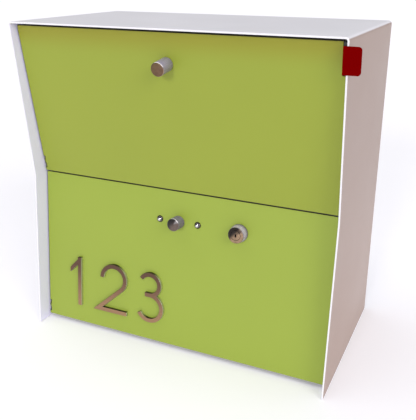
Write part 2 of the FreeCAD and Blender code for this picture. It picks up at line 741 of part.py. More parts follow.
def figure_one():
    """Upright with a sloping hook."""
    top = NUMERAL_TALL
    hook = plate([(-HOOK, top - HOOK - 1), (0, top), (0, top - 8), (-HOOK, top - HOOK - 8)])
    return join([bar(0, 0, top), hook])


def figure_two():
    """Round top that runs straight down to a level foot."""
    centre = NUMERAL_TALL - BOWL
    turn = math.radians(TAIL_ANGLE)
    corners = []
    for radius in (BOWL - STROKE, BOWL):
        x = radius * math.cos(turn)
        y = centre + radius * math.sin(turn)
        corners.append((x, y))
        corners.append((x - y * math.tan(turn + math.pi / 2), 0))
    tail = plate([corners[0], corners[2], corners[3], corners[1]])
    foot = plate([corners[1], (BOWL, 0), (BOWL, STROKE), (corners[1][0] + STROKE, STROKE)])
    return join([arc(centre, BOWL, TAIL_ANGLE, 180 - TAIL_ANGLE), tail, foot])


def figure_three():
    """Two open bowls with a short stub between them."""
    upper = (NUMERAL_TALL + STROKE) / 2 - BOWL
    waist = 2 * BOWL - STROKE
    stub = plate([(-7, waist), (1, waist), (1, waist + STROKE), (-7, waist + STROKE)])
    bowls = [arc(BOWL, BOWL, -150, 240), arc(NUMERAL_TALL - upper, upper, -90, 240)]
    return join(bowls + [stub])


FIGURES = [
    (NUMERAL_X[0], figure_one, (10.0, 55.0)),
    (NUMERAL_X[1], figure_two, (STROKE / 2, NUMERAL_TALL - STROKE / 2)),
    (NUMERAL_X[2], figure_three, (STROKE / 2, NUMERAL_TALL - STROKE / 2)),
]


def numeral(index):
    """One figure with its two pins, on the face of the lower door."""
    x, draw, pins = FIGURES[index]
    figure = join([draw()] + [rod(PIN_RADIUS, Vector(0, y, 0), -UP, PIN_LONG) for y in pins])
    figure.Placement = Placement(Vector(x, 0, NUMERAL_UP), Rotation(ACROSS, 90))
    return figure


def numeral_pins():
    """(X, Z) of every pin, in the lower door's frame."""
    return [(x, NUMERAL_UP + y) for x, draw, pins in FIGURES for y in pins]


def numeral_nuts():
    places = [Vector(x, DOOR_SHEET, z) for x, z in numeral_pins()]
    return gather([hexagon(PIN_NUT_FLATS, PIN_RADIUS + RUNNING, p, BACK, PIN_NUT_TALL) for p in places])


# ---- flag, in the frame of the leaning front edge: Z runs up the edge, Y into the box ----

def flag():
    """Plate across the front edge with a knuckle behind its inner end."""
    face = (-DOOR_CLEAR - FLAG_SHEET, -DOOR_CLEAR)
    leaf = box((FLAG_X, FLAG_X + FLAG_WIDE), face, (FLAG_UP, FLAG_UP + FLAG_TALL))
    corners = [e for e in leaf.Edges if e.BoundBox.YLength > 1 and e.BoundBox.XMin > FLAG_X + 1]
    leaf = leaf.makeFillet(FLAG_CORNER, corners)
    tall = (KNUCKLE_UP, KNUCKLE_UP + KNUCKLE_TALL)
    web = box((FLAG_PIN_X - 1.0, FLAG_PIN_X + 1.0), (face[0], FLAG_PIN_BACK), tall)
    start = Vector(FLAG_PIN_X, FLAG_PIN_BACK, KNUCKLE_UP)
    knuckle = rod(KNUCKLE_RADIUS, start, UP, KNUCKLE_TALL)
    bore = rod(FLAG_PIN_RADIUS + RUNNING, start, UP, KNUCKLE_TALL)
    return join([leaf, web, knuckle]).cut(bore)


def flag_block():
    """Hinge block on the inner face of the right wall, open around the flag's knuckle."""
    low = FLAG_UP + 1
    block = box((FLAG_BLOCK_X, INSIDE), (0.2, FLAG_BLOCK_DEEP), (low, low + FLAG_BLOCK_TALL))
    gap = (KNUCKLE_UP - DOOR_CLEAR, KNUCKLE_UP + KNUCKLE_TALL + DOOR_CLEAR)
    block = block.cut(box((FLAG_BLOCK_X - 1, INSIDE + 1), (-1, 2.4 * FLAG_PIN_BACK), gap))
    return block.cut(flag_pin_rod(FLAG_PIN_RADIUS + RUNNING, 0.2))


def flag_pin_rod(radius, spare):
    low = KNUCKLE_UP - 4 - spare
    return rod(radius, Vector(FLAG_PIN_X, FLAG_PIN_BACK, low), UP, KNUCKLE_TALL + 8 + 2 * spare)


def all_pieces():
    """Every piece of the mailbox by name, in its place."""
    row = Vector(0, 0, ROW_UP)
    upper_knob = turned(knob(UPPER_KNOB_LONG, KNOB_CHAMFER, 0.0), Vector(0, 0, UPPER_KNOB_UP), OUT)
    upper_seat = DOOR_SHEET + WASHER_TALL
    lower_seat = DOOR_SHEET + PLATE_SHEET
    rail_row = RAIL_UP - BUMPER_DROP
    header_row = HEADER_UP - HEADER_DROP
    pieces = {
        "outer_shell": outer_shell(),
        "back_panel": back_panel(),
        "floor_panel": floor_panel(),
        "side_studs": side_studs(),
        "side_nuts": side_nuts(),
        "centre_rail": centre_rail(),
        "rail_bumpers": bumpers(LOWER, RAIL_BUMPER_X, rail_row, RAIL_FACE),
        "rail_catch_case": moved(catch_case(0, rail_row, RAIL_FACE, lower_seat), LOWER),
        "rail_catch_magnet": moved(catch_magnet(0, rail_row, RAIL_FACE, lower_seat), LOWER),
        "header": header(),
        "header_studs": header_studs(),
        "header_nuts": header_nuts(),
        "header_bumpers": bumpers(UPPER, HEADER_BUMPER_X, header_row, HEADER_FACE),
        "header_catch_cases": header_catches(catch_case),
        "header_catch_magnets": header_catches(catch_magnet),
        "upper_pivot_studs": pivot_studs(UPPER),
        "upper_pivot_spacers": pivot_spacers(UPPER),
        "upper_pivot_clips": pivot_clips(UPPER),
        "upper_stop_studs": stop_studs(UPPER, UPPER_OPEN),
        "lower_pivot_studs": pivot_studs(LOWER),
        "lower_pivot_spacers": pivot_spacers(LOWER),
        "lower_pivot_clips": pivot_clips(LOWER),
        "lower_stop_studs": stop_studs(LOWER, LOWER_OPEN),
        "flag_block": moved(flag_block(), EDGE),
        "flag_pin": moved(flag_pin_rod(FLAG_PIN_RADIUS, 0.0), EDGE),
        "flag": moved(flag(), EDGE),
        "upper_panel": moved(upper_panel(), UPPER),
        "upper_knob": moved(upper_knob, UPPER),
        "upper_knob_washer": moved(upper_knob_washer(), UPPER),
        "upper_knob_screw": moved(knob_screw(UPPER_KNOB_UP, upper_seat), UPPER),
        "hopper_tray": moved(hopper_tray(), UPPER),
        "tray_cheeks": moved(tray_cheeks(), UPPER),
        "tray_studs": moved(tray_studs(), UPPER),
        "tray_nuts": moved(tray_nuts(), UPPER),
        "lower_panel": moved(lower_panel(), LOWER),
        "lower_knob": moved(turned(knob(LOWER_KNOB_LONG, KNOB_CHAMFER, KNOB_CROWN), row, OUT), LOWER),
        "lower_knob_screw": moved(knob_screw(ROW_UP, lower_seat), LOWER),
        "keeper_plate": moved(keeper_plate(), LOWER),
        "dome_screws": moved(dome_screws(), LOWER),
        "dome_nuts": moved(dome_nuts(), LOWER),
        "lock_barrel": moved(lock_barrel(), LOWER),
        "lock_nut": moved(lock_nut(), LOWER),
        "lock_plug": moved(lock_plug(), LOWER),
        "lock_cam": moved(lock_cam(), LOWER),
        "cam_screw": moved(cam_screw(), LOWER),
        "numeral_nuts": moved(numeral_nuts(), LOWER),
    }
    for index, name in enumerate(("first", "second", "third")):
        pieces["numeral_" + name] = moved(numeral(index), LOWER)
    return pieces


os.makedirs("parts", exist_ok=True)
for name, shape in all_pieces().items():
    lowered = moved(shape, Placement(UP * -MIDDLE, Rotation()))
    lowered.exportStep("parts/" + name + ".step")
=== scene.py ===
import math

import bmesh
import bpy
from mathutils import Euler, Matrix, Vector


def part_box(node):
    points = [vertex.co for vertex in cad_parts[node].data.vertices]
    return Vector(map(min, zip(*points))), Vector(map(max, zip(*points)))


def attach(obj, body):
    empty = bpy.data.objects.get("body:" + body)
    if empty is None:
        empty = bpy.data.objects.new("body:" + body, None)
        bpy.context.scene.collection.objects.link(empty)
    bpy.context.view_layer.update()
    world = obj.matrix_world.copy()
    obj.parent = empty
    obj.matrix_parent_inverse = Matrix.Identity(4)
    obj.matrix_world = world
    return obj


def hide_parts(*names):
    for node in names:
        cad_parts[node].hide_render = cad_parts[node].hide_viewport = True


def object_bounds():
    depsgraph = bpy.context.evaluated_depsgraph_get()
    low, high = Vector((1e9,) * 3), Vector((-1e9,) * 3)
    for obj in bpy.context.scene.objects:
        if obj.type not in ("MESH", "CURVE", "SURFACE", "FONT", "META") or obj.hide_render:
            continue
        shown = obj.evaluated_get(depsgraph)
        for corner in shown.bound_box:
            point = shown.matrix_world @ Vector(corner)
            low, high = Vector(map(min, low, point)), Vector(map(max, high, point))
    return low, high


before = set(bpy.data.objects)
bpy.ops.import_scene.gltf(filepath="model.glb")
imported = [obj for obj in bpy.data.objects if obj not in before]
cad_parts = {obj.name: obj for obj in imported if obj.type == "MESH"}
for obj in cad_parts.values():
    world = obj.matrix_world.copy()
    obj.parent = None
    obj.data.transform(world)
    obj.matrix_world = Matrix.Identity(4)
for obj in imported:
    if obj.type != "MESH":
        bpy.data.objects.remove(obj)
CAD_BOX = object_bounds()

# Wall mounted mailbox: the finished pieces around the fixed frame. Metres.

MM = 0.001
UPPER_LEAN = math.radians(8.62)  # the upper door leans out at its top
LOWER_LEAN = math.radians(-5.95)  # the lower door leans out at its foot
OUT = Vector((0, -1, 0))
SOFT_EDGE = 0.35 * MM  # rounding that a powder coat leaves on a cut edge
DOOR_EDGE = 0.3 * MM
INNER_EDGE = 0.25 * MM
FINE_EDGE = 0.2 * MM
SMOOTH_ANGLE = math.radians(32)
FLAT_ANGLE = math.radians(0.4)  # faces that meet at less are one flat
WELD = 0.001 * MM  # points nearer than this are one point
UPPER_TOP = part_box("upper_panel")[1].z
SIDE_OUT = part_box("outer_shell")[1].x  # outer face of the right wall
EAR_FROM = 194.0 * MM  # the doors' ears, at each end of their pivots' line
EAR_REACH = 13.0 * MM

# Depths of the finest relief in a finish
PEEL = 0.05 * MM  # of the powder on sheet
FINE_GRAIN = 0.02 * MM  # of turned steel

# Turned fittings: heights and radii in millimetres
KNOB_RADIUS = 8.0
UPPER_KNOB_LONG = 22.0
LOWER_KNOB_RIM = 15.6  # where the raised face of the lower knob is bare
DOME_TALL = 3.2
DOME_RADIUS = 4.4
DOME_SHANK = 8.4  # below the dome
DOME_STEPS = 12
LOCK_SHANK = 12.6  # behind the door's outer face
LOCK_FACE = 12.1
LOCK_FACE_RADIUS = 9.0
LOCK_BORE = 6.05
TAPER_STEPS = 36  # rings along the lock's knurled taper

# Facets round a turned piece
PLAIN_AROUND = 64
KNURLED_AROUND = 176
LOCK_AROUND = 240
DOME_AROUND = 48


# ---- wires and benches: how finishes and trees of nodes are laid out ----

class Wire:
    """A value on its way between two nodes; plain sums on it add Math nodes."""

    def __init__(self, bench, socket):
        self.bench = bench
        self.socket = socket

    def sum(self, operation, *values):
        return self.bench.node("ShaderNodeMath", {"operation": operation}, dict(enumerate(values)))

    def __add__(self, other):
        return self.sum("ADD", self, other)

    def __sub__(self, other):
        return self.sum("SUBTRACT", self, other)

    def __rsub__(self, other):
        return self.sum("SUBTRACT", other, self)

    def __mul__(self, other):
        return self.sum("MULTIPLY", self, other)

    def __truediv__(self, other):
        return self.sum("DIVIDE", self, other)

    def __pow__(self, other):
        return self.sum("POWER", self, other)

    def step(self, low, high):
        """0 below low and 1 above high, with a smooth rise between."""
        settings = {"interpolation_type": "SMOOTHSTEP"}
        sockets = {"Value": self, "From Min": low, "From Max": high}
        return self.bench.node("ShaderNodeMapRange", settings, sockets)

    __radd__ = __add__
    __rmul__ = __mul__


class Bench:
    """A tree of nodes being laid out."""

    def __init__(self, tree):
        self.tree = tree

    def node(self, kind, settings=None, sockets=None, out=0):
        """Any node: its type, its settings, and the values or wires of its sockets."""
        made = self.tree.nodes.new(kind)
        for name, value in (settings or {}).items():
            setattr(made, name, value)
        for name, value in (sockets or {}).items():
            if isinstance(value, Wire):
                self.tree.links.new(value.socket, made.inputs[name])
            else:
                made.inputs[name].default_value = value
        return Wire(self, made.outputs[out]) if len(made.outputs) else made

    def parts(self, vector):
        """The X, Y and Z of a vector."""
        first = self.node("ShaderNodeSeparateXYZ", {}, {0: vector})
        outputs = first.socket.node.outputs
        return [Wire(self, outputs[i]) for i in range(3)]


class Coat(Bench):
    """One finish. Its constants are set on the surface itself, and patterns vary the rest."""

    def __init__(self, name, constants):
        self.material = bpy.data.materials.new(name)
        self.material.use_nodes = True
        super().__init__(self.material.node_tree)
        self.tree.nodes.clear()
        self.surface = self.tree.nodes.new("ShaderNodeBsdfPrincipled")
        for socket, value in constants.items():
            self.surface.inputs[socket].default_value = value
        self.node("ShaderNodeOutputMaterial", {}, {"Surface": Wire(self, self.surface.outputs[0])})

    def vary(self, wires):
        for socket, wire in wires.items():
            self.tree.links.new(wire.socket, self.surface.inputs[socket])
        return self.material

    def place(self, foot=(0, 0, 0), turn=(0, 0, 0), scale=(1, 1, 1)):
        """Where a point is on the object, measured from foot and along turned axes."""
        point = self.node("ShaderNodeTexCoord", {}, {}, "Object")
        sockets = {"Vector": point, "Location": foot, "Rotation": turn, "Scale": scale}
        return self.node("ShaderNodeMapping", {"vector_type": "TEXTURE"}, sockets)

    def facing(self):
        """Which way the surface faces."""
        return self.node("ShaderNodeTexCoord", {}, {}, "Normal")

    def noise(self, place, scale, detail=2.0, rough=0.5):
        sockets = {"Vector": place, "Scale": scale, "Detail": detail, "Roughness": rough}
        return self.node("ShaderNodeTexNoise", {}, sockets)

    def blend(self, amount, low, high):
        sockets = {0: amount, 6: low, 7: high}
        return self.node("ShaderNodeMix", {"data_type": "RGBA"}, sockets, 2)

    def relief(self, height, depth):
        sockets = {"Strength": 1.0, "Distance": depth, "Height": height}
        return self.node("ShaderNodeBump", {}, sockets)


def shade(colour, amount):
    """The colour made lighter or darker."""
    return tuple(min(1.0, c * amount) for c in colour[:3]) + (1.0,)


# ---- finishes ----

WALL_PAINTED_LIGHT = (0.81, 0.78, 0.985, 1)  # inner faces of the walls in front of the doors: painted light, bluer to offset the green light the doors throw on them
FOOT_PAINTED_LIGHT = 1.2  # how much lighter the right wall's painted shade is near the ground, as painted light from the floor
WALL_FOOT, WALL_HEAD = -0.21, 0.12  # heights between which that fades
DOORS_FROM, DOORS_TO = -0.195, -0.175  # depths between which the walls' painted light ends
# Painted shade under the hood, on the upper door: its brown tones, reach and strength
HOOD_SHADE_TONES = (0.26, 0.225, 0.009, 1), (0.28, 0.245, 0.012, 1)
HOOD_SHADE_DEEP = 34 * MM  # how far down the painted shade reaches
HOOD_SHADE_FULL = 1 * MM  # how far down it is full
HOOD_SHADE_STRENGTH = 0.66


def powder_coat(name, colour, gloss, peel=PEEL, side=None, sheen=0.4, hood_shade=None, rim=None):
    """Baked powder: nearly even colour, a fine orange peel, and a soft sheen.
    Where a side tone is given, the outer face of the right wall has that tone, painted shade of a
    wall turned from the light, made lighter near the ground as painted light from the floor; and
    the inner faces of the walls are a little bluer in front of the doors, painted light that
    offsets the green light the doors throw on them.
    Where a hood height is given, a thin brown painted shade lies below that height, under the hood.
    Where an edge tone is given, the sheet's level edges have that tone, painted shade of the gaps
    they face."""
    coat = Coat(name, {"IOR": 1.5, "Specular IOR Level": sheen})
    place = coat.place()
    drift = coat.noise(place, 9.0, 3.0)
    swell = coat.noise(place, 210.0, 1.0)
    grit = coat.noise(place, 1100.0, 2.0)
    tone = drift * 0.7 + grit * 0.3
    paint = coat.blend(tone, shade(colour, 0.955), shade(colour, 1.045))
    if side:
        across, inwards, up = coat.parts(place)
        faces_right = coat.parts(coat.facing())[0]
        # Painted shade: the right wall's outer face takes the side tone, lighter near the ground as
        # painted light
        outside = across.step(SIDE_OUT - 1.2 * MM, SIDE_OUT - 0.1 * MM)
        warm = coat.blend(tone, shade(side, 0.965), shade(side, 1.035))
        warm = coat.blend(up.step(WALL_FOOT, WALL_HEAD), shade(side, FOOT_PAINTED_LIGHT), warm)
        paint = coat.blend(outside * faces_right.step(0.55, 0.95), paint, warm)
        # Painted light: the walls' inner faces in front of the doors are bluer, offsetting the green
        # light from the doors
        inward = (across * faces_right * -5.0).step(0.55, 0.95)
        inward = inward * (1 - inwards.step(DOORS_FROM, DOORS_TO))
        paint = coat.blend(inward, paint, WALL_PAINTED_LIGHT)
    # Painted shade under the hood: a brown darkening below the given height
    if hood_shade:
        depth = coat.parts(place)[2].step(hood_shade - HOOD_SHADE_DEEP, hood_shade - HOOD_SHADE_FULL)
        brown = coat.blend(tone, *HOOD_SHADE_TONES)
        paint = coat.blend(depth ** 1.25 * HOOD_SHADE_STRENGTH, paint, brown)
    # Painted shade on the level edges, which face the dark gaps
    if rim:
        rise = coat.parts(coat.facing())[2]
        paint = coat.blend((rise * rise).step(0.06, 0.3), paint, rim + (1,))
    return coat.vary({
        "Base Color": paint,
        "Roughness": gloss + (drift - 0.5) * 0.12 + (grit - 0.5) * 0.08,
        "Normal": coat.relief(grit * 0.5 + swell, peel),
    })


def zinc_plate():
    """Zinc plating: small blue-grey and straw-coloured clouds under a dull shine."""
    coat = Coat("zinc_plate", {"Metallic": 1.0})
    place = coat.place()
    clouds = coat.noise(place, 160.0, 3.0, 0.6)
    rub = coat.noise(place, 900.0, 2.0)
    return coat.vary({
        "Base Color": coat.blend(clouds, (0.50, 0.51, 0.53, 1), (0.70, 0.68, 0.60, 1)),
        "Roughness": 0.3 + clouds * 0.16 + (rub - 0.5) * 0.1,
        "Normal": coat.relief(rub, 0.03 * MM),
    })


def moulded(name, colour, gloss, grain, depth):
    """Moulded rubber or plastic with a fine spark-eroded grain."""
    coat = Coat(name, {"IOR": 1.46})
    place = coat.place()
    fine = coat.noise(place, grain, 2.0)
    cloud = coat.noise(place, 60.0, 2.0)
    return coat.vary({
        "Base Color": coat.blend(cloud, shade(colour, 0.8), shade(colour, 1.25)),
        "Roughness": gloss + (fine - 0.5) * 0.14,
        "Normal": coat.relief(fine, depth),
    })


def sintered():
    """Pressed magnet: dark grey grains."""
    coat = Coat("dark_magnet", {"Metallic": 0.6})
    grain = coat.noise(coat.place(), 2600.0, 2.0)
    return coat.vary({
        "Base Color": coat.blend(grain, (0.05, 0.05, 0.055, 1), (0.15, 0.15, 0.15, 1)),
        "Roughness": 0.5 + grain * 0.2,
        "Normal": coat.relief(grain, 0.04 * MM),
    })


DIRT = (0.02, 0.018, 0.017, 1)
BORE_SHADE = (0.012, 0.011, 0.011, 1)
BORE_FROM, BORE_TO = 4 * MM, 5 * MM  # radii between which the painted shade inside a turned piece's bore ends
BARE_STEEL = 0.25  # how metallic the dull sides are


def turned_steel(name, foot, lean, side, faces, painted_bevel_tones, long, radius, gloss, foot_shade=1.2 * MM, joint=0):
    """Turned bar: matt grain along the side, a bevel, and rings on the face that ends it.
    The face has three painted tones: shade at the upper left, a warm reflection at the lower
    right, and a highlight in a wedge where the rings would catch light. The bevel has two,
    a painted highlight where it is lit from above and a painted warm reflection at its lower
    right, over painted shade elsewhere. The side has a painted reflection of the sky, lighter
    and bluer on top; it has painted shade up to a given height above its foot, where it meets
    the door, and painted shade inside bores.
    Where joint is given, dirt lies in a ring of that radius on the face."""
    coat = Coat(name, {"IOR": 1.8})
    x, y, z = coat.parts(coat.place(foot, (lean, 0, 0)))
    out = (x * x + z * z) ** 0.5
    angle = x.sum("ARCTAN2", x, z)
    rings = coat.noise(coat.node("ShaderNodeCombineXYZ", {}, {0: out * 2600.0}), 1.0, 2.0)
    around = coat.node("ShaderNodeCombineXYZ", {}, {0: angle * 26.0, 1: y * 60.0, 2: out * 60.0})
    grain = coat.noise(around, 1.0, 3.0, 0.6)
    smudge = coat.noise(coat.place(), 240.0, 2.0)
    height = y * -1.0
    on_face = height.step(long - 0.45 * MM, long - 0.2 * MM)
    on_bevel = height.step(long - 0.95 * MM, long - 0.75 * MM) * (1 - on_face)
    streaks = on_face * rings + (1 - on_face) * grain
    mix = (rings * 0.5 + smudge * 0.5).step(0.3, 0.7)
    # Painted shade at the face's upper left and a painted highlight in a wedge at its upper right;
    # the rest of the face is a painted warm reflection.
    upper_left = ((z - x) * (0.7 / radius)).step(-0.25, 0.45)
    upper_right = ((x + z) * 0.7 / (out + 0.1 * MM)).step(0.9, 1.0)
    dark, warm, light = [coat.blend(mix, shade(tone, 0.75), shade(tone, 1.25)) for tone in faces]
    face = coat.blend(upper_right, coat.blend(upper_left, warm, dark), light)
    if joint:
        dirt = out.step(joint - 0.5 * MM, joint) * (1 - out.step(joint, joint + 0.5 * MM))
        face = coat.blend(dirt, face, DIRT)
    # Painted highlight on the bevel's upper right, painted warm reflection at its lower right,
    # painted shade elsewhere.
    lit = ((x * 0.38 + z * 0.92) / radius).step(0.6, 0.85)
    low = ((x - z) * (0.7 / radius)).step(0.35, 0.75)
    bevel = coat.blend(low, shade(side, 0.3), painted_bevel_tones[1] + (1,))
    bevel = coat.blend(lit, bevel, painted_bevel_tones[0] + (1,))
    # Painted reflection of the sky: the side lighter and bluer towards its top.
    sky = (side[0] * 1.3, side[1] * 1.36, side[2] * 1.5)
    over = (z / radius).step(-0.5, 0.9)
    worn = coat.blend(over, shade(side, 0.6), shade(sky, 0.6))
    clean = coat.blend(over, shade(side, 1.35), shade(sky, 1.35))
    plain = coat.blend(streaks.step(0.3, 0.7), worn, clean)
    # Painted shade near the foot, where the piece meets the door, and inside the bore.
    plain = coat.blend(height.step(0, foot_shade), shade(side, 0.25), plain)
    plain = coat.blend(out.step(BORE_FROM, BORE_TO), BORE_SHADE, plain)
    return coat.vary({
        "Base Color": coat.blend(on_face, coat.blend(on_bevel, plain, bevel), face),
        "Metallic": BARE_STEEL + on_face * (1 - BARE_STEEL),
        "Roughness": gloss + (streaks - 0.5) * 0.2 + (smudge - 0.5) * 0.08,
        "Normal": coat.relief(streaks, FINE_GRAIN),
    })


def polished(name, foot, lean, rim, tip, tall, gloss):
    """Polished domes with faint handling marks, with painted shade round their edge and a painted
    highlight at the tip.
    """
    coat = Coat(name, {"Metallic": 1.0})
    height = coat.parts(coat.place(foot, (lean, 0, 0)))[1] * -1.0
    place = coat.place()
    marks = coat.noise(place, 500.0, 4.0, 0.7)
    haze = coat.noise(place, 90.0, 2.0)
    # Painted shade round the edge, painted highlight at the tip
    tone = coat.blend(height.step(tall * 0.78, tall * 0.99), rim + (1,), tip + (1,))
    return coat.vary({
        "Base Color": coat.blend(haze * 0.25, tone, (0.5, 0.48, 0.48, 1)),
        "Roughness": gloss + marks.step(0.5, 0.8) * 0.12 + haze * 0.04,
        "Normal": coat.relief(marks, 0.004 * MM),
    })


def brushed_numerals(foot):
    """Figures cut from plate: brushed level on the face, in warm tones that are lighter towards the
    foot as a painted reflection; plain on the cut sides, with a painted highlight on those facing
    right and painted shade on the rest.
    """
    coat = Coat("brushed_numerals", {"Metallic": 1.0})
    place = coat.place(foot, (LOWER_LEAN, 0, 0))
    drawn = coat.place(foot, (LOWER_LEAN, 0, 0), (0.04, 0.0006, 0.0006))
    streaks = coat.noise(drawn, 1.0, 3.0, 0.6)
    height = coat.parts(place)[2]
    facing = coat.facing()
    outward = coat.node("ShaderNodeVectorMath", {"operation": "DOT_PRODUCT"},
                        {0: facing, 1: Matrix.Rotation(LOWER_LEAN, 3, "X") @ OUT}, 1)
    # Painted warm reflection on the face, lighter towards the foot.
    warmth = height.step(0, 68 * MM)
    low = coat.blend(streaks, (0.31, 0.18, 0.105, 1), (0.46, 0.28, 0.175, 1))
    high = coat.blend(streaks, (0.10, 0.058, 0.043, 1), (0.19, 0.112, 0.080, 1))
    # Painted highlight on cut sides that face right, painted shade on the others.
    lit = coat.parts(facing)[0].step(0.2, 0.8)
    edge = coat.blend(lit, (0.07, 0.055, 0.05, 1), (0.66, 0.65, 0.68, 1))
    return coat.vary({
        "Base Color": coat.blend(outward.step(0.9, 0.97), edge, coat.blend(warmth, low, high)),
        "Roughness": 0.34 + (streaks - 0.5) * 0.24,
        "Normal": coat.relief(streaks, 0.015 * MM),
    })


# ---- pieces that follow the frame's own shapes, with softened edges ----

def merged(node):
    """A copy of a frame part's mesh with its loose triangles joined."""
    copy = bmesh.new()
    copy.from_mesh(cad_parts[node].data)
    for kept in (copy.loops.layers.uv, copy.loops.layers.float_vector, copy.loops.layers.color):
        while len(kept):
            kept.remove(kept[0])
    bmesh.ops.remove_doubles(copy, verts=copy.verts, dist=2 * WELD)
    return copy


def plain_object(name, shape):
    """An object at the origin that holds a finished mesh."""
    mesh = bpy.data.meshes.new(name)
    shape.to_mesh(mesh)
    shape.free()
    made = bpy.data.objects.new(name, mesh)
    bpy.context.scene.collection.objects.link(made)
    return made


def settled(made):
    """The object with its modifiers worked into its mesh."""
    bpy.context.view_layer.update()
    graph = bpy.context.evaluated_depsgraph_get()
    mesh = bpy.data.meshes.new_from_object(made.evaluated_get(graph))
    made.modifiers.clear()
    made.data = mesh
    return made


def on_ear(line, pivots):
    """Whether an edge touches one of a door's ears, given the height of its pivots."""
    return any(abs(v.co.x) > EAR_FROM and abs(v.co.z - pivots) < EAR_REACH for v in line.verts)


def softened(node, name, body, coat, slot, edge=SOFT_EDGE, pivots=None):
    """Stands for a frame part: the same shape with every sharp edge rounded, but for the
    fine edges of a door's ears, where the height of its pivots is given."""
    shape = merged(node)
    bmesh.ops.dissolve_limit(shape, angle_limit=FLAT_ANGLE, verts=shape.verts, edges=shape.edges)
    chosen = shape.edges.layers.float.new("bevel_weight_edge")
    for line in shape.edges:
        sharp = len(line.link_faces) == 2 and line.calc_face_angle() > SMOOTH_ANGLE
        line[chosen] = 1.0 if sharp and not (pivots and on_ear(line, pivots)) else 0.0
    made = plain_object(name, shape)
    made.data.materials.append(coat)
    made.data.shade_smooth()
    bevel = made.modifiers.new("edges", "BEVEL")
    bevel.width = edge
    bevel.segments = 3
    bevel.limit_method = "WEIGHT"
    bevel.use_clamp_overlap = False
    weigh = made.modifiers.new("faces", "WEIGHTED_NORMAL")
    weigh.weight = 100
    weigh.keep_sharp = False
    settled(made)
    return fitted(made, body, slot, node)


def fitted(made, body, slot, *nodes):
    """The piece rides on its body and stands for the frame parts it replaces."""
    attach(made, body)
    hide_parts(*nodes)
    return made


def coated(coat, *nodes):
    """Frame parts that are shown as they are, in a finish."""
    for node in nodes:
        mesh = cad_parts[node].data
        mesh.materials.clear()
        mesh.materials.append(coat)


# ---- trees for turned pieces and for what repeats ----

class Tree(Bench):
    """A Geometry Nodes tree with named inputs."""

    def __init__(self, name, sizes):
        super().__init__(bpy.data.node_groups.new(name, "GeometryNodeTree"))
        self.keys = {}
        face = self.tree.interface
        for label, kind in [("Geometry", "Geometry")] + sizes:
            socket = face.new_socket(label, in_out="INPUT", socket_type="NodeSocket" + kind)
            self.keys[label] = socket.identifier
        face.new_socket("Geometry", in_out="OUTPUT", socket_type="NodeSocketGeometry")
        self.node("NodeGroupInput")
        self.inputs = self.tree.nodes[-1].outputs

    def given(self, label):
        return Wire(self, self.inputs[label])

    def end(self, shape):
        real = self.node("GeometryNodeRealizeInstances", {}, {"Geometry": shape})
        sockets = {"Geometry": real, "Material": self.given("Finish")}
        self.node("NodeGroupOutput", {}, {0: self.node("GeometryNodeSetMaterial", {}, sockets)})

    def run(self, made, sizes):
        """Works the tree into the object's mesh, with these sizes."""
        modifier = made.modifiers.new("tree", "NODES")
        modifier.node_group = self.tree
        for label, value in sizes.items():
            modifier[self.keys[label]] = value
        return settled(made)


def turning_tree():
    """Turns a half profile round an axis, and cuts a diamond knurl into a band of it."""
    sizes = [("Around", "Int"), ("Knurls", "Int"), ("Knurl pitch", "Float"), ("Knurl depth", "Float")]
    sizes += [("Knurl from", "Float"), ("Knurl to", "Float"), ("Finish", "Material")]
    tree = Tree("turning", sizes)
    profile = tree.given("Geometry")
    rows = tree.node("GeometryNodeAttributeDomainSize", {}, {"Geometry": profile})
    around = tree.given("Around")
    grid = tree.node("GeometryNodeMeshGrid", {}, {"Size X": 1.0, "Size Y": 1.0,
                                                 "Vertices X": around + 1, "Vertices Y": rows})
    across, along, _ = tree.parts(tree.node("GeometryNodeInputPosition"))
    share = across + 0.5
    row = (along + 0.5) * (rows - 1)
    row = row.sum("ROUND", row)
    settings = {"data_type": "FLOAT_VECTOR", "domain": "POINT"}
    sockets = {"Geometry": profile, "Value": tree.node("GeometryNodeInputPosition"), "Index": row}
    radius, _, height = tree.parts(tree.node("GeometryNodeSampleIndex", settings, sockets))
    turns = share * tree.given("Knurls")
    rise = height / tree.given("Knurl pitch")
    left = turns.sum("PINGPONG", turns + rise, 0.5) * 2
    right = turns.sum("PINGPONG", turns - rise + 100.0, 0.5) * 2
    groove = 1 - left.sum("MINIMUM", left, right)
    fade = tree.given("Knurl pitch") * 0.5
    start = tree.given("Knurl from")
    stop = tree.given("Knurl to")
    band = height.step(start, start + fade) * (1 - height.step(stop - fade, stop))
    cut = radius - tree.given("Knurl depth") * groove * band
    angle = share * math.tau
    sockets = {0: cut * angle.sum("COSINE", angle), 1: cut * angle.sum("SINE", angle), 2: height}
    place = tree.node("ShaderNodeCombineXYZ", {}, sockets)
    turned = tree.node("GeometryNodeSetPosition", {}, {"Geometry": grid, "Position": place})
    sockets = {"Geometry": turned, "Distance": WELD}
    tree.end(tree.node("GeometryNodeMergeByDistance", {}, sockets))
    return tree


def repeat_tree():
    """Sets a piece at every point, facing the way the point says."""
    tree = Tree("set_out", [("Piece", "Object"), ("Finish", "Material")])
    piece = tree.node("GeometryNodeObjectInfo", {"transform_space": "ORIGINAL"},
                      {"Object": tree.given("Piece")}, "Geometry")
    settings = {"data_type": "FLOAT_VECTOR"}
    facing = tree.node("GeometryNodeInputNamedAttribute", settings, {"Name": "facing"})
    aligned = tree.node("FunctionNodeAlignRotationToVector", {"axis": "Z"}, {"Vector": facing})
    sockets = {"Points": tree.given("Geometry"), "Instance": piece, "Rotation": aligned}
    tree.end(tree.node("GeometryNodeInstanceOnPoints", {}, sockets))
    return tree


TURNING = turning_tree()
SET_OUT = repeat_tree()
SMOOTH = {"Knurls": 0, "Knurl pitch": 1.0, "Knurl depth": 0.0, "Knurl from": 0.0, "Knurl to": 1.0}


